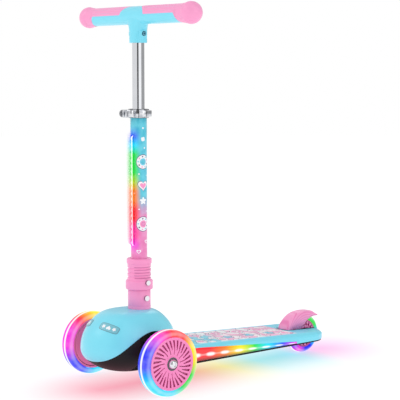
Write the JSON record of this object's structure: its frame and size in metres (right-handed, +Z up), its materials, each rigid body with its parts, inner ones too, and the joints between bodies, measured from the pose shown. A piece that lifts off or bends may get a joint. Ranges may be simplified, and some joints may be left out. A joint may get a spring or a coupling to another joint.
{
  "type": "kick scooter",
  "caption": "Child's folding kick scooter with twin front wheels, lean-to-steer truck, light strips, clear light-up tyres and an adjustable T-bar.",
  "frame": {"origin": "on the ground, under the middle of the whole scooter", "axes": "+Z up, -Y forwards, so +X is the rider's left"},
  "size_m": [0.342, 0.573, 0.6907],
  "materials": {
    "blue_plastic": "semi-gloss moulded",
    "pink_plastic": "satin moulded",
    "hub_plastic": "semi-gloss moulded",
    "black_plastic": "fine grain",
    "bush_rubber": "matt",
    "light_lens": "frosted diffuser",
    "clear_tyre": "clear polyurethane",
    "chrome": "polished",
    "steel": "zinc plated",
    "stem_paint": "gloss paint fading from blue to pink",
    "circuit_board": "lacquered"
  },
  "bodies": {
    "deck": {"deck_top": "blue_plastic", "deck_base": "black_plastic", "side_light_left": "light_lens", "side_light_right": "light_lens", "battery_pack": "black_plastic", "front_cover": "blue_plastic", "front_base": "black_plastic", "head_bracket": "steel", "kingpin": "steel", "post": "pink_plastic", "fold_bolt": "chrome", "fold_nut": "chrome", "rear_axle": "steel", "rear_spacer_left": "steel", "rear_spacer_right": "steel", "brake_pin": "steel", "brake_spring": "steel"},
    "truck": {"truck_bridge": "black_plastic", "kingpin_bush": "bush_rubber", "centring_spring_left": "steel", "centring_spring_right": "steel", "axle_left": "steel", "axle_right": "steel", "axle_cap_left": "chrome", "axle_cap_right": "chrome"},
    "left_wheel": {"left_wheel_tyre": "clear_tyre", "left_wheel_hub": "hub_plastic", "left_wheel_led_ring": "circuit_board", "left_wheel_bearing_inner": "steel", "left_wheel_bearing_outer": "steel"},
    "right_wheel": {"right_wheel_tyre": "clear_tyre", "right_wheel_hub": "hub_plastic", "right_wheel_led_ring": "circuit_board", "right_wheel_bearing_inner": "steel", "right_wheel_bearing_outer": "steel"},
    "rear_wheel": {"rear_wheel_tyre": "clear_tyre", "rear_wheel_hub": "hub_plastic", "rear_wheel_led_ring": "circuit_board", "rear_wheel_bearing_inner": "steel", "rear_wheel_bearing_outer": "steel"},
    "stem": {"stem_tube": "stem_paint", "stem_foot": "steel", "stem_light": "light_lens", "stem_light_board": "circuit_board", "collar_spring": "steel", "spring_plug": "black_plastic", "clamp_ring": "chrome", "clamp_bolt": "steel", "clamp_nut": "chrome"},
    "collar": {"fold_collar": "pink_plastic", "collar_bolt": "chrome", "collar_nut": "chrome"},
    "clamp_lever": {"clamp_lever": "chrome"},
    "bar": {"bar_post": "chrome", "handlebar_core": "blue_plastic", "bar_tube": "steel", "bar_bolt": "chrome", "grip_left": "pink_plastic", "grip_right": "pink_plastic"},
    "brake": {"brake_fender": "pink_plastic"}
  },
  "joints": [
    {"name": "lean_steer", "type": "hinge", "parent": "deck", "child": "truck", "pos_m": [0, -0.1895, 0.062], "axis": [0, 0.6428, 0.766], "range_deg": [-12, 12], "stiffness_Nm_per_rad": 30, "deforming": ["centring_spring_left", "centring_spring_right"]},
    {"name": "left_wheel_spin", "type": "hinge", "parent": "truck", "child": "left_wheel", "pos_m": [0.118, -0.1955, 0.06], "axis": [1, 0, 0], "continuous": true},
    {"name": "right_wheel_spin", "type": "hinge", "parent": "truck", "child": "right_wheel", "pos_m": [-0.118, -0.1955, 0.06], "axis": [1, 0, 0], "continuous": true},
    {"name": "rear_wheel_spin", "type": "hinge", "parent": "deck", "child": "rear_wheel", "pos_m": [0, 0.2445, 0.0395], "axis": [1, 0, 0], "continuous": true},
    {"name": "brake_press", "type": "hinge", "parent": "deck", "child": "brake", "pos_m": [0, 0.1945, 0.045], "axis": [-1, 0, 0], "range_deg": [0, 3], "stiffness_Nm_per_rad": 0.6, "springref_deg": -17.19},
    {"name": "fold", "type": "hinge", "parent": "deck", "child": "stem", "pos_m": [0, -0.1685, 0.159], "axis": [-1, 0, 0], "range_deg": [0, 90]},
    {"name": "collar_slide", "type": "slide", "parent": "stem", "child": "collar", "axis": [0, 0, 1], "range_m": [0, 0.022], "stiffness_N_per_m": 400, "springref_m": -0.05, "deforming": ["collar_spring"]},
    {"name": "clamp_lever_swing", "type": "hinge", "parent": "stem", "child": "clamp_lever", "pos_m": [0.0132, -0.1945, 0.495], "axis": [0, 0, -1], "range_deg": [0, 120]},
    {"name": "height_slide", "type": "slide", "parent": "stem", "child": "bar", "axis": [0, 0, 1], "range_m": [-0.112, 0.06]}
  ],
  "couplings": [
    {"joint": "collar_slide", "follows": "fold", "m_per_rad": 0.014}
  ]
}
